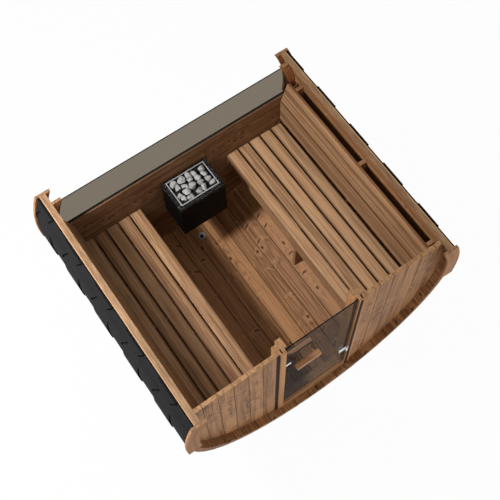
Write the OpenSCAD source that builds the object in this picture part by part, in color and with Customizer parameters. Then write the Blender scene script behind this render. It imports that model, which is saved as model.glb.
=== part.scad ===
// Cutaway barrel sauna. The staved barrel lies along Y on two cradles, its front
// wall with the glass door faces -Y, its panorama window faces +Y, and everything
// above one level plane is left off so that the benches and the heater show.
// Sizes are in millimetres, +Z is up, and Z = 0 is the ground under the cradles.

/* [Barrel shell] */
// Distance from the barrel's axis to the outer face of a stave
stave_r = 1076; // [1050:1:1110]
// Thickness of a stave
stave_t = 42; // [36:1:48]
// Length of a stave along the barrel
stave_len = 1850; // [1800:10:2000]
// Staves in a full ring
stave_count = 52; // [48:4:56]
// Leg of the V groove at each stave joint
stave_groove = 3; // [1:0.5:5]
// Height of the level cut above the barrel's axis
cut_h = 395; // [370:1:410]
// Height of the barrel's lowest point above the ground
rest_gap = 60; // [40:5:120]

/* [Roof shingles and end rings] */
// Thickness of the shingle cover
shingle_t = 7; // [6:0.5:16]
// Angle below the axis at which shingles and rings end
ring_drop = 6.7; // [3:0.1:10]
// Thickness of an end ring board
ring_t = 21; // [15:1:30]
// Reach of an end ring outside the staves
ring_out = 25; // [18:1:35]
// Reach of an end ring inside the staves
ring_in = 35; // [20:1:50]

/* [Front wall] */
// Thickness of the end walls
wall_t = 28; // [24:1:34]
// Setback of the front wall from the front stave ends
front_lip = 60; // [50:1:80]
// Covering width of a wall board
board_w = 112; // [90:1:130]
// Leg of the V groove at a board joint
board_groove = 3; // [1:0.5:5]
// Open joint between the wall and a door post
wall_gap = 11; // [6:1:16]

/* [Door] */
// Clear width between the door posts
door_w = 532; // [510:2:560]
// Width of a door post
post_w = 41; // [36:1:48]
// Reach of a door post outside the wall
post_out = 12; // [10:1:20]
// Reach of a door post inside the wall
post_in = 64; // [56:1:80]
// Height of the threshold's top above the barrel's inside
threshold_h = 100; // [84:1:120]
// Thickness of the door glass
door_glass_t = 8; // [6:1:10]
// Gap between the door glass and the posts
door_gap = 7; // [6:0.5:9]
// Gap between the door glass and the threshold
door_lift = 12; // [8:1:20]
// Length of the outer door handle
handle_len = 190; // [150:5:220]

/* [Window wall] */
// Setback of the window wall from the back stave ends
back_lip = 84; // [70:1:110]
// Height of the window's lower edge above the seat
window_rise = 383; // [340:1:420]
// Width of the curved window posts
window_post_w = 62; // [50:1:75]
// Thickness of the curved window posts
window_post_t = 22; // [18:1:28]
// Thickness of the window glass
window_glass_t = 8; // [6:1:10]

/* [Benches] */
// Height of the seat above the barrel's inside, as a share of the inside diameter
seat_share = 0.344; // [0.33:0.002:0.36]
// Distance from a door post's strip to a bench's front edge
bench_clear = 41; // [20:1:60]
// Distance from a bench's back edge to the staves at the seat
bench_margin = 96; // [88:1:110]
// Gap between bench slats
slat_gap = 12; // [8:1:16]
// Thickness of a slat
slat_t = 28; // [24:1:34]
// Height of the ledgers and the front rail under the slats
ledger_h = 100; // [70:1:130]
// Thickness of ledgers, supports and backrest boards
frame_t = 28; // [22:1:32]

/* [Backrests] */
// Height of the backrest's lower edge above the seat
back_rise = 70; // [50:1:90]
// Width of a backrest board
back_board_w = 60; // [56:1:62]
// Lean of the upper backrest boards
back_lean = 18; // [10:1:22]

/* [Heater] */
// Width of the heater
heater_w = 386; // [350:1:420]
// Depth of the heater
heater_d = 263; // [240:1:290]
// Height of the heater
heater_h = 413; // [380:1:460]
// Height of the heater's top above the seat
heater_rise = 192; // [150:1:230]
// Distance from the heater to the window wall
heater_gap = 16; // [12:1:30]

/* [Cradles] */
// Half the width of a cradle
cradle_half_w = 650; // [520:5:720]
// Thickness of a cradle beam
cradle_t = 60; // [45:1:90]
// Distance of a cradle's middle from the barrel's middle
cradle_y = 560; // [420:5:700]

/* [Hidden] */
$fn = 360;
// Clearance between pieces that are fitted together
fit = 0.3;
// Running clearance on the hinge pin's radius
pin_fit = 0.05;
// A size beyond the whole sauna, for cutting
reach = 3000;

wood_lit = "#c08a5c";
wood_mid = "#9a6b47";
wood_dark = "#7a5236";
slate = "#34363a";
steel = "#c9ccd0";
smoke = "#4d4a46";
black = "#1c1c1e";
stone_grey = "#b9b8b4";

axis_z = rest_gap + stave_r;
pitch = 360 / stave_count;
r_in = stave_r - stave_t;
half_flat = r_in * tan(pitch / 2);
corner_r = stave_r / cos(pitch / 2);
seat_r = r_in - fit;
side_staves = ceil((90 + asin(cut_h / r_in)) / pitch - 0.5);
side_groups = 5;
shell_end = stave_len / 2;

front_out = -shell_end + front_lip;
front_in = front_out + wall_t;
back_out = shell_end - back_lip;
back_in = back_out - wall_t;

post_x = door_w / 2;
post_far = post_x + post_w;
post_y0 = front_out - post_out;
post_y1 = front_in + post_in;
// Strip of a door post that backs the wall boards
strip_w = 42;
strip_t = 43;
// Cover of a door post in front of the wall, set back for the glass
rebate_w = 19;
cover_w = 24;
cover_x0 = post_x + rebate_w;
cover_x1 = post_far + cover_w;

glass_inset = 5;
glass_x = cover_x0 - door_gap;
glass_y0 = front_out + glass_inset;
glass_y1 = glass_y0 + door_glass_t;
rebate_y = glass_y1 + door_gap;
threshold_z = threshold_h - r_in;
glass_bottom = threshold_z + door_lift;

seat_z = (2 * seat_share - 1) * r_in;
slat_count = 5;
bench_front = post_far + strip_w + bench_clear;
bench_back = half_width(r_in, seat_z) - bench_margin;
slat_pitch = (bench_back - bench_front + slat_gap) / slat_count;
slat_w = slat_pitch - slat_gap;
bench_end_gap = 3;
bench_y0 = front_in + bench_end_gap;
bench_y1 = back_in - bench_end_gap;
bench_mid = (bench_y0 + bench_y1) / 2;
window_sill = seat_z + window_rise;

// Directions in the cross-section, for an angle measured from straight down
function down(a) = [sin(a), -cos(a)];
function across(a) = [cos(a), sin(a)];

// Corner between stave k and the next one, on flats at a distance r from the axis
function joint(k, r) = r / cos(pitch / 2) * down((k + 0.5) * pitch);

// Ends of the inner flat of stave k, short of its V grooves
function inner_flat(k) = [for (side = [-1, 1])
    r_in * down(k * pitch) + side * (half_flat - stave_groove) * across(k * pitch)];

// Outline of the staves first to last, with half the fitting gap at both ends
function group_outline(first, last) =
    let (ease_a = fit / 2 * across((first - 0.5) * pitch),
         ease_b = -fit / 2 * across((last + 0.5) * pitch),
         groove_r = r_in + stave_groove)
    concat([joint(first - 1, groove_r) + ease_a],
           [for (k = [first:last])
               each concat(inner_flat(k), k < last ? [joint(k, groove_r)] : [])],
           [joint(last, groove_r) + ease_b, joint(last, stave_r) + ease_b],
           [for (k = [last - 1:-1:first]) joint(k, stave_r)],
           [joint(first - 1, stave_r) + ease_a]);

// First and last stave of a group on the right, counted from the bottom group
function group_first(group) = 2 + floor((group - 1) * (side_staves - 1) / side_groups);
function group_last(group) = 1 + floor(group * (side_staves - 1) / side_groups);

// Half width of a round of radius r at a height z off the axis
function half_width(r, z) = sqrt(r * r - z * z);

module at_axis() { translate([0, 0, axis_z]) children(); }
module on_side(side) { mirror([side > 0 ? 0 : 1, 0, 0]) children(); }

// Extrudes a cross-section drawn in X and Z along the barrel
module along_y(y0, y1) {
    translate([0, y1, 0]) rotate([90, 0, 0]) linear_extrude(y1 - y0) children();
}

module drum(r, y0, y1) {
    translate([0, y1, 0]) rotate([90, 0, 0]) cylinder(h = y1 - y0, r = r);
}

// Block between two opposite corners
module block(a, b) { translate(a) cube(b - a); }

module above_cut() {
    block([-reach, -reach, cut_h], [reach, reach, reach]);
}

module stave_group(first, last) {
    color(wood_mid) at_axis() difference() {
        along_y(-shell_end, shell_end) polygon(group_outline(first, last));
        above_cut();
    }
}

// Bottom staves, with the hole for the drain
module staves_bottom() {
    color(wood_mid) difference() {
        stave_group(-1, 1);
        translate([0, drain_y, 0]) cylinder(h = axis_z, r = drain_pipe_r + fit);
    }
}

module staves_right(group) { stave_group(group_first(group), group_last(group)); }
module staves_left(group) { stave_group(-group_last(group), -group_first(group)); }

// Part of a tube on the right, between the rings' lower end and the cut
module side_arc(r0, r1, y0, y1) {
    low = -reach * tan(ring_drop);
    at_axis() intersection() {
        difference() {
            drum(r1, y0, y1);
            drum(r0, y0 - 1, y1 + 1);
        }
        along_y(y0, y1) polygon([[0, 0], [reach, low], [reach, cut_h], [0, cut_h]]);
    }
}

module shingles(side) {
    color(slate) on_side(side)
        side_arc(corner_r + fit, corner_r + fit + shingle_t, -shell_end, shell_end);
}

// Two curved fascia boards that cover the stave ends
module end_ring(end) {
    y0 = end > 0 ? shell_end + fit : -shell_end - fit - ring_t;
    color(wood_lit) for (side = [-1, 1])
        on_side(side) side_arc(r_in - ring_in, stave_r + ring_out, y0, y0 + ring_t);
}

// Prism that cuts a V groove along Z, centred on a wall face
module v_groove(x, y) {
    leg = board_groove * sqrt(2);
    translate([x, y, 0]) rotate([0, 0, 45]) cube([leg, leg, 2 * reach], center = true);
}

module front_wall(side) {
    x0 = post_far + wall_gap;
    board_x = cover_x1 + wall_gap;
    joints = floor((seat_r - board_x) / board_w);
    color(wood_mid) at_axis() on_side(side) difference() {
        intersection() {
            drum(seat_r, front_out, front_in);
            block([x0, front_out, -reach], [reach, front_in, cut_h]);
        }
        for (i = [1:joints], y = [front_out, front_in])
            v_groove(board_x + i * board_w, y);
    }
}

// Door post: rebated for the glass, with a cover in front of the wall and a strip behind it
module door_post(side) {
    color(wood_lit) at_axis() on_side(side) intersection() {
        translate([0, 0, -reach]) linear_extrude(reach + cut_h)
            polygon([[post_x, post_y1], [post_x, rebate_y], [cover_x0, rebate_y], [cover_x0, post_y0],
                     [cover_x1, post_y0], [cover_x1, front_out - fit], [post_far, front_out - fit],
                     [post_far, front_in + fit], [post_far + strip_w, front_in + fit],
                     [post_far + strip_w, front_in + strip_t], [post_far, front_in + strip_t],
                     [post_far, post_y1]]);
        drum(seat_r, post_y0, post_y1);
    }
}

seal_w = 23;
seal_t = 3;

// Black strips: one on the wall beside the latch post, one on the hinge post
module door_seals() {
    wall_y = front_out - fit;
    post_y = post_y0 - fit;
    color(black) at_axis() intersection() {
        drum(seat_r, post_y - seal_t, front_out);
        union() {
            block([-cover_x1 - seal_w, wall_y - seal_t, -reach], [-cover_x1 - fit, wall_y, cut_h]);
            block([cover_x0, post_y - seal_t, -reach], [cover_x0 + seal_w, post_y, cut_h]);
        }
    }
}

weep_x = 5;
weep_drop = 44;
weep_w = 7;
weep_h = 20;

// Threshold between the posts, with a small weep slot in its face
module threshold() {
    weep_z = threshold_z - weep_drop;
    back_y = front_in + strip_t;
    color(wood_mid) at_axis() difference() {
        intersection() {
            drum(seat_r, post_y0, back_y);
            union() {
                block([fit - post_x, post_y0, -reach], [post_x - fit, back_y, threshold_z]);
                block([fit - cover_x0, post_y0, -reach], [cover_x0 - fit, rebate_y - fit, threshold_z]);
            }
        }
        block([weep_x - weep_w / 2, post_y0 - 1, weep_z - weep_h / 2],
              [weep_x + weep_w / 2, post_y0 + weep_h, weep_z + weep_h / 2]);
    }
}

module door_glass() {
    color(smoke, 0.6) at_axis()
        block([-glass_x, glass_y0, glass_bottom], [glass_x, glass_y1, cut_h]);
}

handle_x = -220;
handle_t = 36;
handle_h = 45;
inner_handle_t = 30;
inner_handle_z = 25;
standoff = 26;
standoff_r = 7;

// Wooden bar held off the glass by two turned standoffs, on the face at y
module door_handle(face, y, x0, len, t, z) {
    color(wood_lit) at_axis() translate([x0, y, z]) {
        translate([0, face > 0 ? standoff : -standoff - t, -handle_h / 2]) cube([len, t, handle_h]);
        for (x = [len / 6, len * 5 / 6])
            translate([x, 0, 0]) rotate([-90 * face, 0, 0]) cylinder(h = standoff + 1, r = standoff_r);
    }
}

module door_handle_outer() { door_handle(-1, glass_y0 - fit, handle_x, handle_len, handle_t, 0); }
module door_handle_inner() {
    door_handle(1, glass_y1 + fit, handle_x - 9, handle_len + 6, inner_handle_t, inner_handle_z);
}

latch_w = 44;
latch_h = 22;
latch_t = 4;
latch_z = 25;

module door_latch() {
    color(steel) at_axis()
        block([-glass_x, glass_y0 - fit - latch_t, latch_z - latch_h / 2],
              [-glass_x + latch_w, glass_y0 - fit, latch_z + latch_h / 2]);
}

knuckle_r = 8;
hinge_x = cover_x0 - knuckle_r - 5;
hinge_y = glass_y0 - 14;
hinge_rise = 334;
hinge_z = glass_bottom + hinge_rise;
pin_r = 4;
clamp_w = 68;
clamp_h = 50;
lug_h = 10;
lug_gap = 0.5;

// Clamp on both faces of the glass with the knuckle that turns on the pin
module door_hinge() {
    plate_t = 7.7;
    color(steel) at_axis() translate([0, 0, hinge_z - clamp_h / 2]) {
        difference() {
            union() {
                translate([hinge_x, hinge_y, 0]) cylinder(h = clamp_h, r = knuckle_r);
                block([glass_x - clamp_w, glass_y0 - fit - plate_t, 0], [glass_x, glass_y0 - fit, clamp_h]);
            }
            translate([hinge_x, hinge_y, -1]) cylinder(h = clamp_h + 2, r = pin_r + pin_fit);
        }
        block([glass_x - clamp_w, glass_y1 + fit, 0], [post_x - door_gap, glass_y1 + fit + plate_t, clamp_h]);
    }
}

// Lugs on the post's inner face that carry the hinge pin
module hinge_base() {
    lug_z = clamp_h / 2 + lug_gap;
    color(steel) at_axis() translate([hinge_x, hinge_y, hinge_z]) {
        for (z = [lug_z, -lug_z - lug_h]) {
            translate([0, 0, z]) cylinder(h = lug_h, r = knuckle_r);
            block([0, -knuckle_r, z], [cover_x0 - fit - hinge_x, knuckle_r, z + lug_h]);
        }
        translate([0, 0, -lug_z - lug_h]) cylinder(h = 2 * (lug_z + lug_h), r = pin_r);
    }
}

seal_h = 8;
channel_w = 14;
window_mid = (back_in + back_out) / 2;

// Horizontal boards from the barrel's bottom up to the window
module back_wall() {
    top = window_sill - seal_h - fit;
    joints = floor((top + seat_r) / board_w);
    color(wood_mid) at_axis() difference() {
        intersection() {
            drum(seat_r, back_in, back_out);
            block([-reach, back_in, -reach], [reach, back_out, top]);
        }
        for (i = [1:joints], y = [back_in, back_out])
            rotate([0, 90, 0]) v_groove(i * board_w - top, y);
    }
}

module window_seal() {
    half_w = half_width(seat_r - window_post_w, window_sill) - fit;
    color(black) at_axis()
        block([-half_w, window_mid - channel_w / 2, window_sill - seal_h],
              [half_w, window_mid + channel_w / 2, window_sill]);
}

// Curved posts that follow the round of the barrel, at the edges of the glass
module window_posts() {
    y1 = window_mid + window_post_t;
    color(wood_lit) at_axis() for (side = [-1, 1]) on_side(side) difference() {
        intersection() {
            drum(seat_r, window_mid, y1);
            block([0, window_mid, window_sill - seal_h], [reach, y1, cut_h]);
        }
        drum(seat_r - window_post_w, window_mid - 1, y1 + 1);
    }
}

module window_glass() {
    color(smoke, 0.5) at_axis() intersection() {
        drum(seat_r - window_post_w - fit, window_mid - window_glass_t / 2, window_mid + window_glass_t / 2);
        block([-reach, 0, window_sill + fit], [reach, reach, cut_h]);
    }
}

module bench(side) {
    color(wood_lit) at_axis() on_side(side) for (i = [0:slat_count - 1]) {
        x0 = bench_front + i * slat_pitch;
        block([x0, bench_y0, seat_z - slat_t], [x0 + slat_w, bench_y1, seat_z]);
    }
}

support_inset = 50;

// Ledgers on both end walls, a front rail between them and a support board on the staves
module bench_frame(side) {
    top = seat_z - slat_t - fit;
    low = top - ledger_h;
    front_y = front_in + fit;
    back_y = back_in - fit - frame_t;
    color(wood_mid) at_axis() on_side(side) intersection() {
        drum(seat_r, -shell_end, shell_end);
        union() {
            for (y = [front_y, back_y])
                block([bench_front, y, low], [reach, y + frame_t, top]);
            block([bench_front, front_y + frame_t + fit, low], [bench_front + frame_t, back_y - fit, top]);
            block([bench_front + support_inset, bench_mid - frame_t / 2, -reach],
                  [reach, bench_mid + frame_t / 2, top]);
        }
    }
}

back_overlap = 5;
back_x = bench_back - back_overlap;
back_z = seat_z + back_rise;
back_pitch = back_board_w + 1;
upright_boards = 4;
leaning_boards = 3;
bend_z = back_z + upright_boards * back_pitch;

// Boards of one backrest: an upright lower part and a leaning upper part
module backrest(side) {
    color(wood_lit) at_axis() on_side(side) {
        for (i = [0:upright_boards - 1])
            block([back_x, bench_y0, back_z + i * back_pitch],
                  [back_x + frame_t, bench_y1, back_z + i * back_pitch + back_board_w]);
        translate([back_x, bench_y0, bend_z]) rotate([0, back_lean, 0])
            for (i = [0:leaning_boards - 1])
                translate([0, 0, i * back_pitch + frame_t * tan(back_lean)])
                    cube([frame_t, bench_y1 - bench_y0, back_board_w]);
    }
}

back_support_inset = 75;
back_support_rise = 12;
back_support_y = [bench_y0 + back_support_inset, bench_mid, bench_y1 - back_support_inset];

// Shaped supports between the backrest and the round of the barrel
module back_supports(side) {
    rear_x = back_x + frame_t + fit;
    rise = leaning_boards * back_pitch;
    lean_x = back_x + (frame_t + fit) / cos(back_lean);
    corner_z = bend_z - (lean_x - rear_x) / tan(back_lean);
    top_z = bend_z + rise * cos(back_lean);
    foot_z = back_z + back_support_rise;
    color(wood_mid) at_axis() on_side(side) intersection() {
        drum(seat_r, -shell_end, shell_end);
        for (y = back_support_y)
            along_y(y - frame_t / 2, y + frame_t / 2) polygon([[rear_x, foot_z], [rear_x, corner_z],
                [lean_x + rise * sin(back_lean), top_z], [reach, top_z], [reach, foot_z]]);
    }
}

heater_y1 = back_in - heater_gap;
heater_y0 = heater_y1 - heater_d;
heater_top = seat_z + heater_rise;
heater_wall = 3;
stone_depth = 150;
rim_w = 7;
rim_h = 6;
// Flat collar of the casing round the rim
collar = 30;
collar_back = 12;
rim_x = heater_w / 2 - collar;
rim_y0 = heater_y0 + collar;
rim_y1 = heater_y1 - collar_back;

// Steel casing with a flat collar, open inside it for the stones
module heater_body() {
    half = heater_w / 2;
    color(black) at_axis() difference() {
        block([-half, heater_y0, heater_top - heater_h], [half, heater_y1, heater_top - rim_h - fit]);
        block([-rim_x + heater_wall, rim_y0 + heater_wall, heater_top - stone_depth],
              [rim_x - heater_wall, rim_y1 - heater_wall, heater_top + 1]);
    }
}

module heater_rim() {
    color(steel) at_axis() difference() {
        block([-rim_x, rim_y0, heater_top - rim_h], [rim_x, rim_y1, heater_top]);
        block([-rim_x + rim_w, rim_y0 + rim_w, heater_top - rim_h - 1],
              [rim_x - rim_w, rim_y1 - rim_w, heater_top + 1]);
    }
}

stone_cols = 5;
stone_rows = 3;
stone_edge = 6;
bed_drop = 30;

// Filled bed with the rounded tops of the uppermost stones
module heater_stones() {
    half = rim_x - heater_wall - fit;
    y0 = rim_y0 + heater_wall + fit;
    y1 = rim_y1 - heater_wall - fit;
    step_x = 2 * (half - stone_edge) / stone_cols;
    step_y = (y1 - y0 - 2 * stone_edge) / stone_rows;
    bed_z = heater_top - bed_drop;
    color(stone_grey) at_axis() {
        block([-half, y0, heater_top - stone_depth + fit], [half, y1, bed_z]);
        for (i = [0:stone_cols - 1], j = [0:stone_rows - 1])
            translate([stone_edge - half + (i + 0.5) * step_x, y0 + stone_edge + (j + 0.5) * step_y,
                       bed_z - (i + 2 * j) % 3])
                sphere(r = 0.46 * min(step_x, step_y), $fn = 48);
    }
}

// Two upright rails that hang the heater on the wall
module heater_rails() {
    rail_w = 30;
    rail_x = heater_w / 2 - 2 * rail_w;
    rail_low = 2 * rail_w;
    rail_top = 80;
    color(black) at_axis() for (side = [-1, 1])
        block([side * rail_x - rail_w / 2, heater_y1 + fit, heater_top - heater_h + rail_low],
              [side * rail_x + rail_w / 2, back_in - fit, heater_top - rail_top]);
}

drain_inset = 163;
drain_y = back_in - drain_inset;
drain_r = 32.5;
drain_pipe_r = 20;
drain_bore_r = 17;
drain_rim = 4;

// Turned outlet: a flange with a raised rim on the stave and a pipe through it
module floor_drain() {
    color(steel) at_axis() translate([0, drain_y, -r_in + fit]) difference() {
        union() {
            cylinder(h = 6, r = drain_r);
            translate([0, 0, -stave_t]) cylinder(h = stave_t, r = drain_pipe_r);
        }
        translate([0, 0, 2]) cylinder(h = 6, r = drain_r - drain_rim);
        translate([0, 0, -stave_t - 1]) cylinder(h = stave_t + 8, r = drain_bore_r);
    }
}

// Two beams with a hollow that fits the barrel's outer round
module cradles() {
    horn_z = axis_z - half_width(corner_r, cradle_half_w);
    color(wood_dark) for (end = [-1, 1]) {
        y0 = end * cradle_y - cradle_t / 2;
        difference() {
            block([-cradle_half_w, y0, 0], [cradle_half_w, y0 + cradle_t, horn_z]);
            at_axis() drum(corner_r + fit, y0 - 1, y0 + cradle_t + 1);
        }
    }
}

staves_bottom();
staves_left(1);  // staves_left_1
staves_left(2);  // staves_left_2
staves_left(3);  // staves_left_3
staves_left(4);  // staves_left_4
staves_left(5);  // staves_left_5
staves_right(1);  // staves_right_1
staves_right(2);  // staves_right_2
staves_right(3);  // staves_right_3
staves_right(4);  // staves_right_4
staves_right(5);  // staves_right_5
shingles(-1);  // shingles_left
shingles(1);  // shingles_right
end_ring(-1);  // end_ring_front
end_ring(1);  // end_ring_back
front_wall(-1);  // front_wall_left
front_wall(1);  // front_wall_right
door_post(-1);  // door_post_left
door_post(1);  // door_post_right
door_seals();
threshold();
door_glass();
door_handle_outer();
door_handle_inner();
door_latch();
door_hinge();
hinge_base();
back_wall();
window_posts();
window_glass();
window_seal();
bench(-1);  // bench_left
bench(1);  // bench_right
bench_frame(-1);  // bench_frame_left
bench_frame(1);  // bench_frame_right
backrest(-1);  // backrest_left
backrest(1);  // backrest_right
back_supports(-1);  // back_supports_left
back_supports(1);  // back_supports_right
heater_body();
heater_rim();
heater_stones();
heater_rails();
floor_drain();
cradles();
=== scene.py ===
import math
import random

import bpy
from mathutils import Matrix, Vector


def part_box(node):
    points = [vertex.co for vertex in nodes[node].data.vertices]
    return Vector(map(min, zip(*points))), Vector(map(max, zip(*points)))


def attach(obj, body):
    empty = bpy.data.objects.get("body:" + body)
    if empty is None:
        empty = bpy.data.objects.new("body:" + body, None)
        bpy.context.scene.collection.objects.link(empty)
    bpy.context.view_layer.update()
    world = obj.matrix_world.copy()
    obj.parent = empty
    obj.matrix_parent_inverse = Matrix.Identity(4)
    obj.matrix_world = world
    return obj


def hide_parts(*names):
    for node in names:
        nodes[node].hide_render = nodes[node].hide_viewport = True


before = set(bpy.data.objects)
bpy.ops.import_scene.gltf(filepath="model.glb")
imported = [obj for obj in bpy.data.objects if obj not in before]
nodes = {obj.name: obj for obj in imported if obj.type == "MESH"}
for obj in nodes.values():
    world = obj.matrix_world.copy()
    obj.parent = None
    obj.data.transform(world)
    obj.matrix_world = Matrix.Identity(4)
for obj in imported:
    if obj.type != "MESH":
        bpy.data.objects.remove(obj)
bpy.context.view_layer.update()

# The shell: flat softwood staves, 42 mm thick, coopered into a lying barrel and heat-treated to a
# warm brown. Each one is planed, V-grooved inside at its joints and left bare.
AXIS_Z = 1.136
CUT_Z = 1.531
CUT_SKIN = 0.0008
STAVE_R_IN = 1.034
STAVE_R_MID = 1.05
STAVE_PITCH = math.radians(360 / 52)
STAVE_HALF = 0.0625
STAVE_CUT_HIGHLIGHT = 0.037


def node_maker(tree):
    """Returns a function that adds a node to a material and sets or links its inputs."""

    def add(kind, inputs=(), **settings):
        node = tree.nodes.new(kind)
        for key, value in settings.items():
            setattr(node, key, value)
        for key, value in dict(inputs).items():
            if isinstance(value, bpy.types.NodeSocket):
                tree.links.new(value, node.inputs[key])
            else:
                node.inputs[key].default_value = value
        return node

    return add


def wood(name, lay, light, dark, half, knots, cut=None, highlight_depth=None, inside=None,
         seam=(0.006, 0.001, 0.55, 0.3)):
    """Sawn softwood, in boards of the half width given, with knots in a share of them.

    lay(calc, x, y, z) says where a point lies in its board: across, along, deep and the board's number.
    cut is the colour of the sawn top, and arris how deep the painted highlight on its outer edge starts.
    inside is the y past which a piece gets painted shade, and how strong. seam is where the dark line at a
    board's edge starts and ends, counted from that edge, and then its strength and its shade.
    """
    mat = bpy.data.materials.new(name)
    mat.use_nodes = True
    mat.node_tree.nodes.clear()
    add = node_maker(mat.node_tree)

    def calc(op, a, b=0.0, c=0.0):
        return add("ShaderNodeMath", {0: a, 1: b, 2: c}, operation=op).outputs[0]

    def vector(a, b, c=0.0):
        return add("ShaderNodeCombineXYZ", {0: a, 1: b, 2: c}).outputs[0]

    def scaled(a, by, plus=0.0):
        return calc("MULTIPLY_ADD", a, by, plus)

    def noise(at, detail=3.0, rough=0.55):
        inputs = {"Vector": at, "Scale": 1.0, "Detail": detail, "Roughness": rough}
        return add("ShaderNodeTexNoise", inputs).outputs["Fac"]

    def ramp(value, low, high):
        inputs = {"Value": value, "From Min": low, "From Max": high}
        return add("ShaderNodeMapRange", inputs, clamp=True).outputs[0]

    def mix(share, a, b):
        return add("ShaderNodeMix", {0: share, 6: a, 7: b}, data_type="RGBA").outputs[2]

    def times(color, red, green, blue):
        return (color[0] * red, color[1] * green, color[2] * blue, 1)

    def knot_cells(across_scale, along_scale, along_at, share, low, high):
        """Knots in some cells of a stretched pattern: the knot, the swirl round it and its pale halo."""
        at = vector(scaled(across, across_scale, shift), scaled(along_at, along_scale, shift))
        inputs = {"Vector": at, "Scale": 1.0, "Randomness": 0.85}
        cells = add("ShaderNodeTexVoronoi", inputs, voronoi_dimensions="2D").outputs
        pick = add("ShaderNodeSeparateColor", {0: cells["Color"]}).outputs[0]
        here = calc("LESS_THAN", pick, share)
        spans = ((high, low), (high * 5, 0.0), (high * 2.6, high))
        return [calc("MULTIPLY", here, ramp(cells["Distance"], far, near)) for far, near in spans]

    spot = add("ShaderNodeTexCoord").outputs["Object"]
    xyz = add("ShaderNodeSeparateXYZ", {0: spot}).outputs
    across, along, deep, board = lay(calc, xyz[0], xyz[1], xyz[2])
    dice = add("ShaderNodeTexWhiteNoise", {"W": board}, noise_dimensions="1D").outputs
    tone = dice["Value"]
    dice_rgb = add("ShaderNodeSeparateColor", {0: dice["Color"]}).outputs
    shift = calc("MULTIPLY", tone, 37.0)

    # round knots, and spike knots that run across the board in a shallow bow
    bow = calc("MULTIPLY", calc("MULTIPLY", across, across), 9.0)
    tilt = calc("MULTIPLY", across, calc("SUBTRACT", dice_rgb[1], 0.5))
    wobble = noise(vector(scaled(across, 70.0, shift), scaled(along, 45.0, shift)), 2.0)
    ragged = calc("ADD", along, scaled(wobble, 0.03, -0.015))
    bowed = calc("ADD", ragged, calc("ADD", bow, tilt))
    knot, swirl, halo = knot_cells(8.0, 5.5, ragged, knots * 0.35, 0.05, 0.13)
    spike, spike_swirl, spike_halo = knot_cells(4.4, 13.0, bowed, knots * 0.6, 0.05, 0.18)
    swirl = calc("ADD", swirl, spike_swirl)
    knot = calc("MAXIMUM", knot, spike)
    halo = calc("MAXIMUM", halo, spike_halo)

    # growth rings: distance from a pith that wanders along the board
    slow = noise(vector(scaled(across, 4.0, shift), scaled(along, 0.9, shift), board), 2.0)
    wander = calc("ADD", across, calc("MULTIPLY", slow, 0.11))
    pith_across = calc("SUBTRACT", wander, scaled(dice_rgb[0], 0.06, 0.02))
    pith_deep = calc("ADD", scaled(dice_rgb[1], 0.05, 0.025), calc("MULTIPLY", deep, 0.6))
    square = calc("ADD", calc("MULTIPLY", pith_across, pith_across), calc("MULTIPLY", pith_deep, pith_deep))
    phase = calc("ADD", calc("MULTIPLY", calc("SQRT", square), 520.0), calc("MULTIPLY", swirl, 7.0))
    ring = ramp(calc("SINE", phase), -0.3, 1.0)

    # streaks of three widths along the board, and each board's own tone
    streak = noise(vector(scaled(across, 30.0, shift), scaled(along, 0.8, shift), board), 3.0)
    grain_at = vector(calc("MULTIPLY", across, 75.0), scaled(along, 2.2, shift), calc("MULTIPLY", deep, 75.0))
    grain = noise(grain_at, 4.0, 0.65)
    fine_at = vector(calc("MULTIPLY", across, 420.0), scaled(along, 9.0, shift),
                     calc("MULTIPLY", deep, 420.0))
    fine = noise(fine_at, 2.0)
    dark_part = calc("ADD", calc("MULTIPLY", ring, 0.32), calc("MULTIPLY", ramp(grain, 0.43, 0.58), 0.44))
    dark_part = calc("ADD", dark_part, calc("MULTIPLY", ramp(streak, 0.42, 0.62), 0.36))
    dark_part = calc("ADD", dark_part, calc("MULTIPLY", ramp(fine, 0.42, 0.66), 0.20))
    dark_part = calc("ADD", dark_part, scaled(tone, 0.40, -0.36))
    dark_part = add("ShaderNodeClamp", {0: dark_part}).outputs[0]
    tint = mix(dark_part, light, dark)
    tint = mix(calc("MULTIPLY", dice_rgb[2], 0.22), tint, times(dark, 1.25, 0.98, 0.8))
    tint = mix(calc("MULTIPLY", swirl, 0.18), tint, dark)
    tint = mix(calc("MULTIPLY", halo, 0.5), tint, times(light, 1.12, 1.14, 1.16))
    # painted shade: past the y given by inside, the wood is darkened towards near black
    if inside:
        past = calc("GREATER_THAN", xyz[1], inside[0])
        tint = mix(calc("MULTIPLY", past, inside[1]), tint, (0.02, 0.01, 0.005, 1))

    # the sawn top has coarser streaks and no knots
    if cut:
        fresh = calc("GREATER_THAN", xyz[2], CUT_Z - CUT_SKIN)
        coarse_at = vector(scaled(across, 45.0, shift), scaled(along, 9.0, shift),
                           calc("MULTIPLY", deep, 45.0))
        coarse = calc("MULTIPLY", ramp(noise(coarse_at, 3.0, 0.6), 0.36, 0.62), 0.6)
        streaky = calc("ADD", calc("MULTIPLY", ramp(grain, 0.40, 0.60), 0.4), coarse)
        sawn = mix(streaky, times(cut, 1.14, 1.14, 1.14), times(cut, 0.55, 0.52, 0.47))
        if highlight_depth:
            # painted highlight: the outer edge of the sawn top is paled as if it caught the light
            pale = calc("MULTIPLY", calc("GREATER_THAN", deep, highlight_depth), 0.6)
            sawn = mix(pale, sawn, times(cut, 2.0, 2.0, 1.9))
        tint = mix(fresh, tint, sawn)
        knot = calc("MULTIPLY", knot, calc("SUBTRACT", 1.0, fresh))
    tint = mix(calc("MULTIPLY", knot, 0.9), tint, times(dark, 0.34, 0.25, 0.2))
    start, end, strength, shade = seam
    groove = calc("MULTIPLY", ramp(calc("ABSOLUTE", across), half - start, half - end), strength)
    tint = mix(groove, tint, times(dark, shade, shade * 0.87, shade * 0.73))

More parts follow.
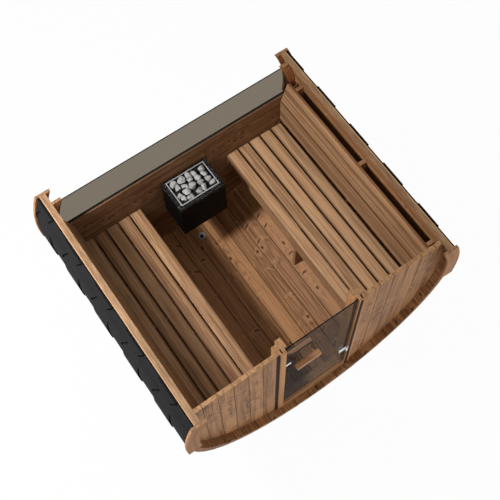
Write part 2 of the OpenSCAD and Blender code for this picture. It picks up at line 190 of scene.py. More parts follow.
    relief = calc("ADD", calc("MULTIPLY", ring, 0.3), calc("ADD", grain, calc("MULTIPLY", fine, 0.5)))
    bump = add("ShaderNodeBump", {"Height": relief, "Strength": 0.3, "Distance": 0.001}).outputs[0]
    rough = scaled(grain, 0.2, 0.45)
    inputs = {"Base Color": tint, "Roughness": rough, "Normal": bump, "Specular IOR Level": 0.12}
    bare = add("ShaderNodeBsdfPrincipled", inputs)
    add("ShaderNodeOutputMaterial", {0: bare.outputs[0]})
    return mat


def dress(names, mat, edge):
    """Gives CAD nodes a material and, where edge isn't 0, eased edges."""
    for name in names:
        obj = nodes[name]
        if not obj.material_slots:
            obj.data.materials.append(mat)
        for place in obj.material_slots:
            place.material = mat
        if edge:
            weld = obj.modifiers.new("weld", "WELD")
            weld.merge_threshold = 0.00002
            ease = obj.modifiers.new("ease", "BEVEL")
            ease.width = edge
            ease.segments = 2
            ease.limit_method = "ANGLE"
            ease.angle_limit = math.radians(35)


def lay_stave(calc, x, y, z):
    """Staves lie round the axis and run along the barrel."""
    up = calc("SUBTRACT", z, AXIS_Z)
    angle = calc("ARCTAN2", x, calc("MULTIPLY", up, -1.0))
    number = calc("FLOOR", calc("MULTIPLY_ADD", angle, 1 / STAVE_PITCH, 0.5))
    off = calc("SUBTRACT", angle, calc("MULTIPLY", number, STAVE_PITCH))
    r = calc("SQRT", calc("ADD", calc("MULTIPLY", x, x), calc("MULTIPLY", up, up)))
    return calc("MULTIPLY", off, STAVE_R_MID), y, calc("SUBTRACT", r, STAVE_R_IN), number


stave_wood = wood("stave_wood", lay_stave, light=(0.405, 0.205, 0.093, 1), dark=(0.113, 0.0475, 0.019, 1),
                  half=STAVE_HALF, knots=0.45, cut=(0.238, 0.142, 0.080, 1), highlight_depth=STAVE_CUT_HIGHLIGHT)
staves = ["staves_bottom"] + [f"staves_{side}_{i}" for side in ("left", "right") for i in range(1, 6)]
dress(staves, stave_wood, edge=0)

# The end rings: curved fascia boards of planed softwood, one at each end of the barrel. They are
# band-sawn from planks to the round of the shell and nailed over the stave ends.
RING_R = 1.05
NO_SEAMS = 5.0  # a half width past any piece, for wood that shows no seams between boards


def lay_ring(calc, x, y, z):
    """A ring's boards run round the axis, one on each side of each end."""
    up = calc("SUBTRACT", z, AXIS_Z)
    angle = calc("ARCTAN2", up, calc("ABSOLUTE", x))
    r = calc("SQRT", calc("ADD", calc("MULTIPLY", x, x), calc("MULTIPLY", up, up)))
    number = calc("ADD", calc("SIGN", x), calc("MULTIPLY", calc("SIGN", y), 3.0))
    return calc("SUBTRACT", r, RING_R), calc("MULTIPLY", angle, RING_R), y, number


ring_wood = wood("ring_wood", lay_ring, light=(0.44, 0.222, 0.100, 1), dark=(0.21, 0.094, 0.038, 1),
                 half=NO_SEAMS, knots=0.1, cut=(0.22, 0.122, 0.063, 1))
dress(["end_ring_front", "end_ring_back"], ring_wood, edge=0.002)

# The front wall: vertical boards of heat-treated softwood on both sides of the door, tongued together
# and cut at the foot to the round of the staves.
WALL_X = 0.342
BOARD_W = 0.112


def lay_front(calc, x, y, z):
    """Wall boards stand side by side, counted outwards from the door."""
    side = calc("SUBTRACT", calc("ABSOLUTE", x), WALL_X)
    number = calc("FLOOR", calc("DIVIDE", side, BOARD_W))
    off = calc("SUBTRACT", side, calc("MULTIPLY", calc("ADD", number, 0.5), BOARD_W))
    return off, z, y, calc("ADD", number, calc("MULTIPLY", calc("SIGN", x), 20.0))


wall_wood = wood("wall_wood", lay_front, light=(0.52, 0.282, 0.138, 1), dark=(0.125, 0.056, 0.024, 1),
                 half=BOARD_W / 2, knots=0.4, cut=(0.30, 0.168, 0.085, 1))
dress(["front_wall_left", "front_wall_right"], wall_wood, edge=0.001)

# The door frame: two planed posts of paler softwood, rebated where they meet the wall, with a low
# threshold between their feet and a sealing strip along each post.
POST_X = 0.30
POST_SHADE_BEHIND_GLASS = (-0.872, 0.4)


def lay_post(calc, x, y, z):
    """One upright post on each side."""
    off = calc("SUBTRACT", calc("ABSOLUTE", x), POST_X)
    return off, z, y, calc("ADD", calc("SIGN", x), 50.0)


def lay_cross(calc, x, y, z):
    """Beams that lie across the barrel."""
    number = calc("ADD", calc("FLOOR", calc("MULTIPLY", y, 3.0)), calc("MULTIPLY", calc("SIGN", x), 9.0))
    return z, x, y, number


def plain(name, color, rough, metal=0.0, bump=0.15, scale=160.0, stretch=(1, 1, 1), spread=0.15, shine=0.3,
          beyond=None, chips=None):
    """A paint, rubber, metal, grit or stone with fine unevenness.

    beyond is an axis, a place on it and the colour past it. chips is the height above which pale
    flecks show.
    """
    mat = bpy.data.materials.new(name)
    mat.use_nodes = True
    tree = mat.node_tree
    add = node_maker(tree)
    spot = add("ShaderNodeTexCoord").outputs["Object"]
    xyz = add("ShaderNodeSeparateXYZ", {0: spot}).outputs
    turned = add("ShaderNodeMapping", {"Vector": spot, "Scale": stretch}).outputs[0]
    fine = add("ShaderNodeTexNoise", {"Vector": turned, "Scale": scale, "Detail": 4.0}).outputs["Fac"]

    def mix(share, a, b):
        return add("ShaderNodeMix", {0: share, 6: a, 7: b}, data_type="RGBA").outputs[2]

    def past(axis, limit):
        return add("ShaderNodeMath", {0: xyz[axis], 1: limit}, operation="GREATER_THAN").outputs[0]

    darker = [c * (1 - spread) for c in color] + [1]
    paler = [min(1, c * (1 + spread)) for c in color] + [1]
    tint = mix(fine, darker, paler)
    if beyond:
        axis, limit, other = beyond
        tint = mix(past(axis, limit), tint, list(other) + [1])
    if chips:
        flecks = add("ShaderNodeTexNoise", {"Vector": spot, "Scale": 260.0}).outputs["Fac"]
        few = add("ShaderNodeMapRange", {"Value": flecks, "From Min": 0.63, "From Max": 0.70}).outputs[0]
        chipped = add("ShaderNodeMath", {0: past(2, chips), 1: few}, operation="MULTIPLY").outputs[0]
        tint = mix(chipped, tint, [0.42, 0.42, 0.42, 1])
    smooth_to_rough = {"Value": fine, "To Min": max(0.02, rough - 0.1), "To Max": rough + 0.1}
    uneven = add("ShaderNodeMapRange", smooth_to_rough).outputs[0]
    lift = add("ShaderNodeBump", {"Height": fine, "Strength": bump, "Distance": 0.001}).outputs[0]
    bsdf = tree.nodes["Principled BSDF"]
    tree.links.new(tint, bsdf.inputs["Base Color"])
    tree.links.new(uneven, bsdf.inputs["Roughness"])
    tree.links.new(lift, bsdf.inputs["Normal"])
    bsdf.inputs["Metallic"].default_value = metal
    bsdf.inputs["Specular IOR Level"].default_value = shine
    return mat


# the posts are darkened past the line of the glass: painted shade
post_wood = wood("post_wood", lay_post, light=(0.69, 0.36, 0.157, 1), dark=(0.40, 0.19, 0.078, 1),
                 half=NO_SEAMS, knots=0.08, cut=(0.28, 0.156, 0.079, 1), inside=POST_SHADE_BEHIND_GLASS)
dress(["door_post_left", "door_post_right"], post_wood, edge=0.002)
sill_wood = wood("sill_wood", lay_cross, light=(0.42, 0.235, 0.12, 1), dark=(0.22, 0.107, 0.05, 1),
                 half=NO_SEAMS, knots=0.1)
dress(["threshold"], sill_wood, edge=0.002)
# the sealing strips are coloured dark brown as painted shade of the gap beside each post
seal_strip_shade = plain("seal_strip_shade", (0.015, 0.008, 0.005), 0.7, shine=0.1)
dress(["door_seals"], seal_strip_shade, edge=0)

# The window wall: horizontal softwood boards with a fixed pane of grey toughened glass above them. The
# pane stands in a black channel, and curved posts sawn like the end rings hold it at both sides.
WALL_TOP = AXIS_Z + 0.0521
TOP_SEAM_FREE = 0.045
CHANNEL_BACK_Y = 0.8225


def lay_back(calc, x, y, z):
    """Wall boards lie across, counted down from the pane. The upper edge of the first has no seam."""
    drop = calc("SUBTRACT", WALL_TOP, z)
    number = calc("MAXIMUM", calc("FLOOR", calc("DIVIDE", drop, BOARD_W)), 0.0)
    off = calc("SUBTRACT", drop, calc("MULTIPLY", calc("ADD", number, 0.5), BOARD_W))
    highest = calc("LESS_THAN", number, 0.5)
    beyond = calc("MAXIMUM", calc("SUBTRACT", -TOP_SEAM_FREE, off), 0.0)
    off = calc("ADD", off, calc("MULTIPLY", highest, beyond))
    return off, x, y, calc("ADD", number, 80.0)


def glass(name, tint, gloss):
    """Tinted pane: clear through its faces, faintly mirroring in front, black at its cut edges."""
    mat = bpy.data.materials.new(name)
    mat.use_nodes = True
    mat.node_tree.nodes.clear()
    add = node_maker(mat.node_tree)

    def calc(op, a, b, c=0.0):
        return add("ShaderNodeMath", {0: a, 1: b, 2: c}, operation=op).outputs[0]

    def blend(share, a, b):
        return add("ShaderNodeMixShader", {0: share, 1: a.outputs[0], 2: b.outputs[0]})

    spot = add("ShaderNodeTexCoord").outputs["Object"]
    smear = add("ShaderNodeTexNoise", {"Vector": spot, "Scale": 6.0, "Detail": 5.0}).outputs["Fac"]
    rough = calc("MULTIPLY_ADD", smear, 0.06, 0.5)
    clear = add("ShaderNodeBsdfTransparent", {"Color": tint})
    mirror = add("ShaderNodeBsdfGlossy", {"Color": (0.9, 0.92, 0.95, 1), "Roughness": rough})
    edge = add("ShaderNodeBsdfDiffuse", {"Color": (0.006, 0.008, 0.008, 1)})
    face = add("ShaderNodeNewGeometry").outputs
    fresnel = add("ShaderNodeFresnel", {"IOR": 1.45}).outputs[0]
    turned = add("ShaderNodeVectorTransform", {"Vector": face["True Normal"]}, vector_type="NORMAL",
                 convert_from="WORLD", convert_to="OBJECT").outputs[0]
    facing = calc("ABSOLUTE", add("ShaderNodeSeparateXYZ", {0: turned}).outputs[1], 0.0)
    outside = calc("SUBTRACT", 1.0, face["Backfacing"])
    rim = calc("MULTIPLY", calc("LESS_THAN", facing, 0.3), outside)
    mirrored = calc("MULTIPLY", calc("MULTIPLY", fresnel, gloss), outside)
    pane = blend(rim, blend(mirrored, clear, mirror), edge)
    add("ShaderNodeOutputMaterial", {0: pane.outputs[0]})
    return mat


back_wood = wood("back_wood", lay_back, light=(0.245, 0.132, 0.068, 1), dark=(0.069, 0.032, 0.0145, 1),
                 half=BOARD_W / 2, knots=0.35)
dress(["back_wall"], back_wood, edge=0.001)
dress(["window_posts"], ring_wood, edge=0.0015)
window_glass = glass("window_glass", tint=(0.45, 0.42, 0.37, 1), gloss=0.4)
dress(["window_glass"], window_glass, edge=0)
channel = plain("channel", (0.02, 0.016, 0.012), 0.6, beyond=(1, CHANNEL_BACK_Y, (0.10, 0.095, 0.085)))
dress(["window_seal"], channel, edge=0)

# The benches: sanded slats with rounded edges, screwed from below to ledgers on both end walls and
# to a support board in the middle.
BENCH_LO, BENCH_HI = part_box("bench_right")
SLATS = 5
SLAT_GAP = 0.012
SLAT_PITCH = (BENCH_HI[0] - BENCH_LO[0] + SLAT_GAP) / SLATS
SLAT_W = SLAT_PITCH - SLAT_GAP
FRONT_EDGE = 0.01
FRAME_Z = 0.73


def plank(lo, hi, round_by):
    """One rounded board between two corners."""
    bpy.ops.object.select_all(action="DESELECT")
    bpy.ops.mesh.primitive_cube_add(size=1, location=[(a + b) / 2 for a, b in zip(lo, hi)])
    obj = bpy.context.object
    obj.scale = [b - a for a, b in zip(lo, hi)]
    bpy.ops.object.transform_apply(location=True, rotation=True, scale=True)
    ease = obj.modifiers.new("ease", "BEVEL")
    ease.width = round_by
    ease.segments = 3
    bpy.ops.object.modifier_apply(modifier="ease")
    return obj


def joined(parts, name):
    """Joins parts into one named piece with its place in its mesh."""
    bpy.ops.object.select_all(action="DESELECT")
    for part in parts:
        part.select_set(True)
    bpy.context.view_layer.objects.active = parts[0]
    if len(parts) > 1:
        bpy.ops.object.join()
    obj = bpy.context.object
    obj.name = name
    obj.data.name = name
    bpy.ops.object.transform_apply(location=True, rotation=True, scale=True)
    bpy.ops.object.shade_smooth_by_angle(angle=math.radians(35))
    return obj


def lay_bench(calc, x, y, z):
    """Slats run along the barrel, counted outwards from the front edge."""
    side = calc("SUBTRACT", calc("ABSOLUTE", x), BENCH_LO[0])
    number = calc("FLOOR", calc("DIVIDE", calc("ADD", side, SLAT_GAP / 2), SLAT_PITCH))
    off = calc("SUBTRACT", side, calc("MULTIPLY", calc("ADD", number, 0.5), SLAT_PITCH))
    return off, y, z, calc("ADD", number, calc("MULTIPLY", calc("SIGN", x), 31.0))


def lay_frame(calc, x, y, z):
    """Ledgers, rails and supports run along x or along y."""
    number = calc("ADD", calc("FLOOR", calc("MULTIPLY", y, 2.0)), calc("SIGN", x))
    return calc("SUBTRACT", z, FRAME_Z), calc("ADD", x, y), calc("SUBTRACT", x, y), number


bench_wood = wood("bench_wood", lay_bench, light=(0.46, 0.281, 0.155, 1), dark=(0.175, 0.092, 0.046, 1),
                  half=SLAT_W / 2, knots=0.0)
# painted shade: a near-black wood for the slats' sides in the gaps
slat_side_shade = wood("slat_side_shade", lay_bench, light=(0.02, 0.011, 0.006, 1), dark=(0.008, 0.004, 0.002, 1),
                 half=NO_SEAMS, knots=0.0)
for side, name in ((-1, "bench_left"), (1, "bench_right")):
    slats = []
    for i in range(SLATS):
        near = BENCH_LO[0] + i * SLAT_PITCH
        left, right = sorted((side * near, side * (near + SLAT_PITCH - SLAT_GAP)))
        lo = (left, BENCH_LO[1], BENCH_LO[2])
        hi = (right, BENCH_HI[1], BENCH_HI[2])
        slats.append(plank(lo, hi, round_by=0.002))
    bench = joined(slats, name + "_slats")
    bench.data.materials.append(bench_wood)
    bench.data.materials.append(slat_side_shade)
    # the slats' sides in the gaps get painted shade, near black, apart from the bench's front edge
    for face in bench.data.polygons:
        if abs(face.normal.x) > 0.8 and abs(face.center.x) > BENCH_LO[0] + FRONT_EDGE:
            face.material_index = 1
    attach(bench, "sauna")
    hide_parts(name)
frame_wood = wood("frame_wood", lay_frame, light=(0.36, 0.20, 0.105, 1), dark=(0.18, 0.086, 0.04, 1),
                  half=NO_SEAMS, knots=0.1)
dress(["bench_frame_left", "bench_frame_right"], frame_wood, edge=0.0015)

# The backrests: seven boards screwed to shaped supports, the lower four upright and the upper three
# leaning back against the round of the barrel.
BACK_LO, BACK_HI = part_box("backrest_right")
BACK_PITCH = 0.061
BACK_W = 0.060
BACK_T = 0.028
UPRIGHT = 4
LEANING = 3
BACK_LEAN = math.radians(18)
BEND_SLACK = 0.004
REST_SEAM_FREE = 0.022


def lay_backrest(calc, x, y, z):
    """Boards run along the barrel, counted upwards. The upper edge of the last has no seam."""
    upright = calc("SUBTRACT", z, BACK_LO[2])
    behind = calc("MULTIPLY", calc("SUBTRACT", calc("ABSOLUTE", x), BACK_LO[0]), math.sin(BACK_LEAN))
    above = calc("MULTIPLY", calc("SUBTRACT", upright, UPRIGHT * BACK_PITCH), math.cos(BACK_LEAN))
    leaning = calc("ADD", calc("ADD", behind, above), UPRIGHT * BACK_PITCH - BACK_T * math.tan(BACK_LEAN))
    bent = calc("GREATER_THAN", upright, UPRIGHT * BACK_PITCH + BEND_SLACK)
    rise = calc("ADD", upright, calc("MULTIPLY", bent, calc("SUBTRACT", leaning, upright)))
    number = calc("FLOOR", calc("DIVIDE", rise, BACK_PITCH))
    off = calc("SUBTRACT", rise, calc("MULTIPLY", calc("ADD", number, 0.5), BACK_PITCH))
    highest = calc("GREATER_THAN", number, UPRIGHT + LEANING - 1.5)
    beyond = calc("MAXIMUM", calc("SUBTRACT", off, REST_SEAM_FREE), 0.0)
    off = calc("SUBTRACT", off, calc("MULTIPLY", highest, beyond))
    return off, y, calc("ABSOLUTE", x), calc("ADD", number, calc("MULTIPLY", calc("SIGN", x), 57.0))


def faces_outwards():
    """Turns the active piece's faces outwards."""
    bpy.ops.object.mode_set(mode="EDIT")
    bpy.ops.mesh.select_all(action="SELECT")
    bpy.ops.mesh.normals_make_consistent(inside=False)
    bpy.ops.object.mode_set(mode="OBJECT")


rest_wood = wood("rest_wood", lay_backrest, light=(0.30, 0.171, 0.090, 1), dark=(0.129, 0.064, 0.030, 1),
                 half=BACK_PITCH / 2, knots=0.0, seam=(0.005, 0.001, 0.85, 0.2))
for side, name in ((-1, "backrest_left"), (1, "backrest_right")):
    boards = []
    for i in range(UPRIGHT + LEANING):
        board = plank((0, BACK_LO[1], 0), (BACK_T, BACK_HI[1], BACK_W), round_by=0.003)
        board.location = (BACK_LO[0], 0, BACK_LO[2] + min(i, UPRIGHT) * BACK_PITCH)
        if i >= UPRIGHT:
            up = (i - UPRIGHT) * BACK_PITCH + BACK_T * math.tan(BACK_LEAN)
            board.rotation_euler = (0, BACK_LEAN, 0)
            board.location.x += up * math.sin(BACK_LEAN)
            board.location.z += up * math.cos(BACK_LEAN)
        boards.append(board)
    rest = joined(boards, name + "_boards")
    if side < 0:
        bpy.ops.transform.mirror(orient_type="GLOBAL", constraint_axis=(True, False, False),
                                 center_override=(0, 0, 0))
        bpy.ops.object.transform_apply(location=True, rotation=True, scale=True)
        faces_outwards()
    rest.data.materials.append(rest_wood)
    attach(rest, "sauna")
    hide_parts(name)
dress(["back_supports_left", "back_supports_right"], frame_wood, edge=0.0015)

# The heater: a black enamelled steel casing with a bright inner rim, hung on two rails and heaped
# with split grey stones.
HEAT_LO, HEAT_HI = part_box("heater_rim")
CHIPPED_BAND = 0.035
STONE_COLS = 5
STONE_ROWS = 4
STONE_RIM = 0.018
STONE_CLEAR = 0.008
STONE_SINK = 0.008
STONE_LIFT = 0.006
STONE_DRIFT = 0.2
STONE_SIZES = ((0.027, 0.038), (0.023, 0.031), (0.024, 0.030))
STONE_SPLITS = 11
SPLIT_AT = (0.50, 0.80)
ANY_TURN = (0, 6.28)


def split_stone():
    """One stone: a ball split flat on many sides, then turned and drawn out to its size."""
    bpy.ops.object.select_all(action="DESELECT")
    bpy.ops.mesh.primitive_ico_sphere_add(subdivisions=4, radius=1.0)
    stone = bpy.context.object
    splits = []
    for k in range(STONE_SPLITS):
        a, b, c = (random.uniform(-1, 1) for axis in range(3))
        size = math.sqrt(a * a + b * b + c * c) + 0.001
        splits.append((a / size, b / size, c / size, random.uniform(*SPLIT_AT)))
    for v in stone.data.vertices:
        for a, b, c, flat in splits:
            over = v.co.x * a + v.co.y * b + v.co.z * c - flat
            if over > 0:
                v.co.x -= a * over
                v.co.y -= b * over
                v.co.z -= c * over
    stone.rotation_euler = [random.uniform(*ANY_TURN) for axis in range(3)]
    bpy.ops.object.transform_apply(location=True, rotation=True, scale=True)
    stone.scale = [random.uniform(*span) for span in STONE_SIZES]
    stone.rotation_euler = (0, 0, random.uniform(*ANY_TURN))
    return stone


def drift():
    """Where a stone lies in its place along one side, as a share: near the middle."""
    return 0.5 + random.uniform(-STONE_DRIFT, STONE_DRIFT)


heater_black = plain("heater_black", (0.0025, 0.0025, 0.0025), 0.6, bump=0.35, scale=220.0, spread=0.4,
                     shine=0.06, chips=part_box("heater_body")[1][2] - CHIPPED_BAND)
dress(["heater_body", "heater_rails"], heater_black, edge=0.003)
rim_steel = plain("rim_steel", (0.42, 0.43, 0.44), 0.35, metal=0.5, bump=0.1, scale=90.0, stretch=(1, 12, 12))
dress(["heater_rim"], rim_steel, edge=0.001)
# painted shade: the block under the stones is near black so the gaps between them read dark
stone_bed_shade = plain("stone_bed_shade", (0.01, 0.01, 0.01), 0.9, shine=0.1)
dress(["heater_stones"], stone_bed_shade, edge=0)
stone_grey = plain("stone_grey", (0.29, 0.29, 0.288), 0.85, bump=1.0, scale=55.0, spread=0.65)
wide = (HEAT_HI[0] - HEAT_LO[0] - 2 * STONE_RIM) / STONE_COLS
deep = (HEAT_HI[1] - HEAT_LO[1] - 2 * STONE_RIM) / STONE_ROWS
stones = []
random.seed(4)
for i in range(STONE_COLS):
    for j in range(STONE_ROWS):
        stone = split_stone()
        stone.location = (HEAT_LO[0] + STONE_RIM + (i + drift()) * wide,
                          HEAT_LO[1] + STONE_RIM + (j + drift()) * deep,
                          HEAT_HI[2] - STONE_SINK + random.uniform(-STONE_LIFT, STONE_LIFT))
        bpy.ops.object.transform_apply(location=True, rotation=True, scale=True)
        # a stone that would reach past the rim is pushed back inside it
        reach = max(abs(v.co.x) for v in stone.data.vertices)
        front = min(v.co.y for v in stone.data.vertices)
        back = max(v.co.y for v in stone.data.vertices)
        keep_x = HEAT_HI[0] - STONE_CLEAR
        if reach > keep_x:
            stone.location.x = (keep_x - reach) * (1 if stone.data.vertices[0].co.x > 0 else -1)
        too_near = max(0.0, HEAT_LO[1] + STONE_CLEAR - front)
        too_far = max(0.0, back - HEAT_HI[1] + STONE_CLEAR)
        stone.location.y = too_near - too_far
        bpy.ops.object.transform_apply(location=True, rotation=True, scale=True)
        stones.append(stone)
heap = joined(stones, "stone_heap")
bpy.ops.object.shade_smooth_by_angle(angle=math.radians(10))
heap.data.materials.append(stone_grey)
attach(heap, "sauna")

# The drains: a metal outlet let into the lowest staves with a strainer in its bore, a weep slot in
# the threshold's face and a drain slot in the lip before it. The strainer and thin plates in both slots
# are near black, as painted shade in the holes.
DRAIN_LO, DRAIN_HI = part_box("floor_drain")
DRAIN_BORE = 0.0172
STRAINER_T = 0.004
STRAINER_DROP = 0.012
STRAINER_RIM = 0.006
STRAINER_DISH = 0.0015
SILL_LO, SILL_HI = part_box("threshold")
WEEP_X = 0.005
WEEP_W = 0.0068
WEEP_H = 0.0196
WEEP_Z = SILL_HI[2] - 0.044
WEEP_FACE = SILL_LO[1] + 0.001
WEEP_BACK = SILL_LO[1] + 0.004
LIP_Z = AXIS_Z - STAVE_R_IN
LIP_SLOT = ((0.006, -0.914, LIP_Z - 0.001), (0.017, -0.886, LIP_Z + 0.0014))
drain_steel = plain("drain_steel", (0.34, 0.35, 0.37), 0.35, metal=0.45, bump=0.05, scale=60.0)
dress(["floor_drain"], drain_steel, edge=0.001)
# painted shade: near black for the strainer and the plates in the slots, where the holes lie in shade
hole_shade_black = plain("hole_shade_black", (0.005, 0.005, 0.005), 0.7, shine=0.1)
bore_middle = (0, (DRAIN_LO[1] + DRAIN_HI[1]) / 2, DRAIN_HI[2] - STRAINER_DROP)
bpy.ops.object.select_all(action="DESELECT")
bpy.ops.mesh.primitive_cylinder_add(vertices=48, radius=DRAIN_BORE, depth=STRAINER_T, location=bore_middle)
strainer = bpy.context.object
for face in strainer.data.polygons:
    face.select = face.normal.z > 0.9
bpy.ops.object.mode_set(mode="EDIT")
bpy.ops.mesh.inset(thickness=STRAINER_RIM, depth=-STRAINER_DISH)
bpy.ops.object.mode_set(mode="OBJECT")
strainer = joined([strainer], "strainer")
strainer.data.materials.append(hole_shade_black)
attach(strainer, "sauna")
# a thin near-black plate just behind the threshold's face: painted shade of the weep slot
weep_shade = plank((WEEP_X - WEEP_W / 2, WEEP_FACE, WEEP_Z - WEEP_H / 2),
             (WEEP_X + WEEP_W / 2, WEEP_BACK, WEEP_Z + WEEP_H / 2), round_by=0.0005)
slot_shades = joined([weep_shade, plank(LIP_SLOT[0], LIP_SLOT[1], round_by=0.001)], "painted_slot_shade")
slot_shades.data.materials.append(hole_shade_black)
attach(slot_shades, "sauna")

# The door: one pane of smoked toughened glass between the posts, with a wooden bar on each face, a
# bright latch and a clamped hinge.


def lay_handle(calc, x, y, z):
    """Each bar is one length of wood across the door."""
    return calc("SUBTRACT", z, AXIS_Z), x, y, calc("FLOOR", calc("MULTIPLY", y, 20.0))


smoked = glass("smoked_glass", tint=(0.585, 0.60, 0.625, 1), gloss=0.15)
dress(["door_glass"], smoked, edge=0)
handle_wood = wood("handle_wood", lay_handle, light=(0.50, 0.275, 0.14, 1), dark=(0.30, 0.148, 0.07, 1),
                   half=NO_SEAMS, knots=0.0)
dress(["door_handle_outer", "door_handle_inner"], handle_wood, edge=0.003)
chrome = plain("chrome", (0.86, 0.87, 0.89), 0.26, metal=0.85, bump=0.03, scale=40.0)
dress(["door_latch", "door_hinge", "hinge_base"], chrome, edge=0.0015)

# The shingles: a bitumen cover with mineral grit, laid in courses of tabs that narrow downwards and lap
# the course below.
SHINGLE_R = 1.0853
SHELL_END = 0.924
COURSE_FROM = (-6.7, 9.3, 17.0)
COURSE_MID = (-2.6, 13.7, 20.1)
COURSE_TOP = math.degrees(math.asin((CUT_Z - AXIS_Z) / SHINGLE_R))
TAB_FRONT = (0.375, 0.535, 0.364)
TAB_PLACES = range(-5, 3)
TAB_PERIOD = 0.370
TAB_W = 0.182
TAB_T = 0.009
TAB_SINK = 0.001
TAB_JOINT = 0.007
TAB_SLANT = 0.55
SLANT_RISE = 0.055
TAB_CELLS = 6
THIN_SHARE = 0.1
THIN_RUN = 0.3


def shingle_tab(side, course, front):
    """One tab: a plate bent round the barrel, thin where the next course laps it, dark along its joint."""
    last = course == len(COURSE_FROM) - 1
    begin = COURSE_FROM[course]
    finish = COURSE_TOP if last else COURSE_FROM[course + 1]
    bpy.ops.object.select_all(action="DESELECT")
    bpy.ops.mesh.primitive_cube_add(size=1)
    tab = bpy.context.object
    bpy.ops.object.mode_set(mode="EDIT")
    bpy.ops.mesh.select_all(action="SELECT")
    bpy.ops.mesh.subdivide(number_cuts=TAB_CELLS - 1)
    bpy.ops.object.mode_set(mode="OBJECT")
    tab.data.materials.append(shingle)
    tab.data.materials.append(tab_joint)
    for face in tab.data.polygons:
        if face.center.y < 1 / TAB_CELLS - 0.5:
            face.material_index = 1
    for v in tab.data.vertices:
        degrees = begin + (v.co.z + 0.5) * (finish - begin)
        angle = math.radians(degrees)
        thick = TAB_T if last else TAB_T * min(1.0, THIN_SHARE + (0.5 - v.co.z) / THIN_RUN)
        r = SHINGLE_R - TAB_SINK + (v.co.x + 0.5) * thick
        rise = SHINGLE_R * math.radians(degrees - COURSE_MID[course])
        flare = 0.0 if course == 0 else TAB_SLANT * max(-SLANT_RISE, min(SLANT_RISE, rise))
        column = round((v.co.y + 0.5) * TAB_CELLS)
        span = TAB_W + 2 * flare - TAB_JOINT
        reach = 0.0 if column == 0 else TAB_JOINT + (column - 1) / (TAB_CELLS - 1) * span
        y = max(-SHELL_END, min(SHELL_END, front - flare + reach))
        v.co = (side * r * math.cos(angle), y, min(CUT_Z, AXIS_Z + r * math.sin(angle)))
    return tab


shingle = plain("shingle", (0.0085, 0.0087, 0.0097), 0.9, bump=0.8, scale=420.0, spread=0.5, shine=0.12,
                beyond=(2, CUT_Z - CUT_SKIN, (0.002, 0.002, 0.002)))
dress(["shingles_left", "shingles_right"], shingle, edge=0)
tab_joint = plain("tab_joint", (0.0012, 0.0012, 0.0012), 0.95, shine=0.02)
for side, name in ((-1, "left"), (1, "right")):
    tabs = []
    for course, first in enumerate(TAB_FRONT):
        for place in TAB_PLACES:
            front = first + place * TAB_PERIOD
            if front <= SHELL_END and front + TAB_W >= -SHELL_END:
                tabs.append(shingle_tab(side, course, front))
    cover = joined(tabs, "shingle_tabs_" + name)
    faces_outwards()
    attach(cover, "sauna")

# The cradles: two rough-sawn softwood beams that stand on the ground across the barrel, hollowed on top
# to its round, so that the staves lie in them.
cradle_wood = wood("cradle_wood", lay_cross, light=(0.30, 0.16, 0.085, 1), dark=(0.16, 0.078, 0.038, 1),
                   half=NO_SEAMS, knots=0.15)
dress(["cradles"], cradle_wood, edge=0.003)

# The stage: a white floor that keeps the object's soft shadow, a white sky, a small key lamp close above
# the left side, a broad warm fill from the front, and the camera.
FLOOR_SIZE = 60
FLOOR_GLOW = 0.97
KEY_AT = (-2.24, 0.69, 3.81)
KEY_POWER = 680
KEY_SIZE = 0.22
FILL_AIM = (0.25, 0.85, -0.45)
FILL_POWER = 0.48
FILL_SPREAD = math.radians(50)
CAMERA_AT = (-1.362, -2.150, 7.0515)
CAMERA_TILT = math.radians(24.297)
CAMERA_TURN = math.radians(-35.265)


def seen_rays(add):
    """1 for rays from the camera, a reflection or a refraction, and 0 for light that bounces."""
    path = add("ShaderNodeLightPath").outputs
    seen = path["Is Camera Ray"]
    for ray in ("Is Glossy Ray", "Is Transmission Ray"):
        seen = add("ShaderNodeMath", {0: seen, 1: path[ray]}, operation="MAXIMUM").outputs[0]
    return seen


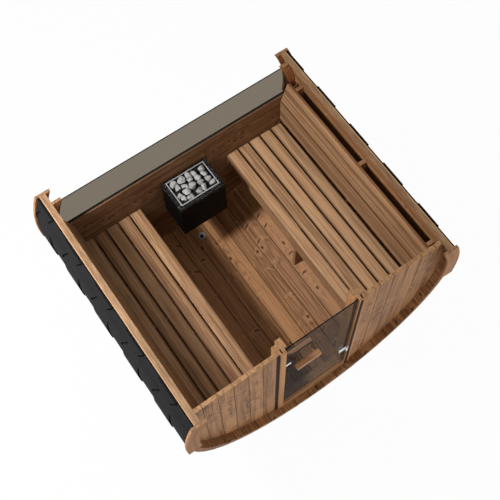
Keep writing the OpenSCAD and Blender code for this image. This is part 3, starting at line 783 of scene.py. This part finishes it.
bpy.ops.object.select_all(action="DESELECT")
bpy.ops.mesh.primitive_plane_add(size=FLOOR_SIZE, location=(0, 0, 0))
floor = bpy.context.object
floor.name = "floor"
floor_white = bpy.data.materials.new("floor")
floor_white.use_nodes = True
floor_white.node_tree.nodes.clear()
add = node_maker(floor_white.node_tree)
matt = add("ShaderNodeBsdfDiffuse", {"Color": (0.55, 0.55, 0.55, 1)})
glow = add("ShaderNodeEmission", {"Strength": 1.0})
share = add("ShaderNodeMath", {0: seen_rays(add), 1: FLOOR_GLOW}, operation="MULTIPLY")
both = add("ShaderNodeMixShader", {0: share.outputs[0], 1: matt.outputs[0], 2: glow.outputs[0]})
add("ShaderNodeOutputMaterial", {0: both.outputs[0]})
floor.data.materials.append(floor_white)

world = bpy.data.worlds.new("world")
bpy.context.scene.world = world
world.use_nodes = True
sky = world.node_tree.nodes["Background"]
sky.inputs["Color"].default_value = (1.0, 0.96, 0.90, 1)
sky.inputs["Strength"].default_value = 0.52
add = node_maker(world.node_tree)
white = add("ShaderNodeBackground", {"Color": (1.0, 1.0, 1.0, 1), "Strength": 1.0})
which = add("ShaderNodeMixShader", {0: seen_rays(add), 1: sky.outputs[0], 2: white.outputs[0]})
world.node_tree.links.new(which.outputs[0], world.node_tree.nodes["World Output"].inputs["Surface"])

bpy.ops.object.light_add(type="POINT", location=KEY_AT)
key = bpy.context.object
key.name = "key"
key.data.energy = KEY_POWER
key.data.shadow_soft_size = KEY_SIZE
key.visible_camera = False
bpy.ops.object.light_add(type="SUN", location=(0, 0, 5))
fill = bpy.context.object
fill.name = "fill"
fill.data.energy = FILL_POWER
fill.data.angle = FILL_SPREAD
fill.data.color = (1.0, 0.78, 0.55)
fill_tilt = math.acos(-FILL_AIM[2] / math.hypot(*FILL_AIM))
fill.rotation_euler = (fill_tilt, 0, math.atan2(FILL_AIM[1], FILL_AIM[0]) - math.pi / 2)

scene = bpy.context.scene
scene.view_settings.view_transform = "Standard"
bpy.ops.object.camera_add(location=CAMERA_AT, rotation=(CAMERA_TILT, 0, CAMERA_TURN))
camera = bpy.context.object
camera.data.sensor_width = 36
camera.data.lens = 67.127
camera.data.shift_x = -0.02748
camera.data.shift_y = -0.04271
camera.data.clip_end = 100
scene.camera = camera
